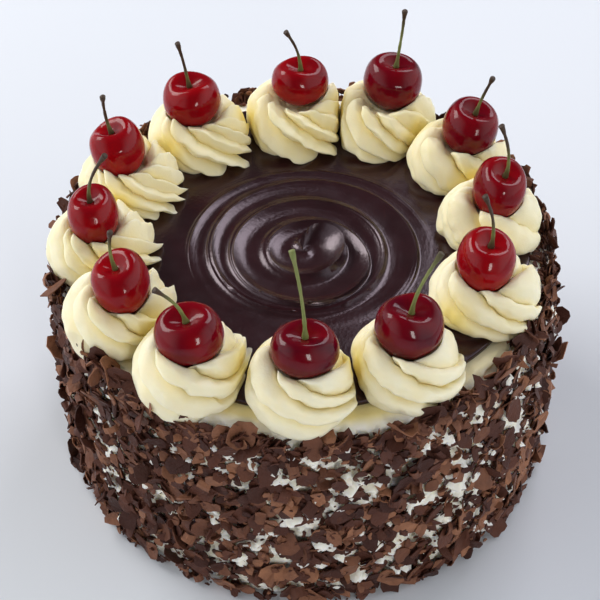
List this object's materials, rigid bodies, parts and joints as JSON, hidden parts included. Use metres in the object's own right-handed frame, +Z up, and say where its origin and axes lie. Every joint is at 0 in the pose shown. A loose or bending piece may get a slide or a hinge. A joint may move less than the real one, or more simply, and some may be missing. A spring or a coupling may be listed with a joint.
{
  "type": "black forest cake",
  "caption": "Round cream-coated cake with chocolate shavings on its side, a swirled ganache top and a ring of piped rosettes, each with a fresh cherry.",
  "frame": {"origin": "centre of the cake's flat base, on the surface it stands on", "axes": "+Z up through the middle of the cake; -Y towards the side where the bare band of cream shows above the shavings"},
  "size_m": [0.2119, 0.2118, 0.1638],
  "materials": {
    "whipped_cream": "soft satin, slightly see-through, pale yellow white",
    "chocolate_shavings": "satin dark chocolate with a faint grey bloom",
    "ganache": "smooth gloss",
    "cherry_skin": "wet gloss, bright red to dark maroon",
    "cherry_stem": "matt, green with a brown end"
  },
  "bodies": {
    "root": {"cake": "whipped_cream", "shavings_coat": "chocolate_shavings", "ganache_top": "ganache", "rosette_01": "whipped_cream", "rosette_02": "whipped_cream", "rosette_03": "whipped_cream", "rosette_04": "whipped_cream", "rosette_05": "whipped_cream", "rosette_06": "whipped_cream", "rosette_07": "whipped_cream", "rosette_08": "whipped_cream", "rosette_09": "whipped_cream", "rosette_10": "whipped_cream", "rosette_11": "whipped_cream", "rosette_12": "whipped_cream", "cherry_01": "cherry_skin", "cherry_02": "cherry_skin", "cherry_03": "cherry_skin", "cherry_04": "cherry_skin", "cherry_05": "cherry_skin", "cherry_06": "cherry_skin", "cherry_07": "cherry_skin", "cherry_08": "cherry_skin", "cherry_09": "cherry_skin", "cherry_10": "cherry_skin", "cherry_11": "cherry_skin", "cherry_12": "cherry_skin", "stem_01": "cherry_stem", "stem_02": "cherry_stem", "stem_03": "cherry_stem", "stem_04": "cherry_stem", "stem_05": "cherry_stem", "stem_06": "cherry_stem", "stem_07": "cherry_stem", "stem_08": "cherry_stem", "stem_09": "cherry_stem", "stem_10": "cherry_stem", "stem_11": "cherry_stem", "stem_12": "cherry_stem"}
  },
  "joints": []
}
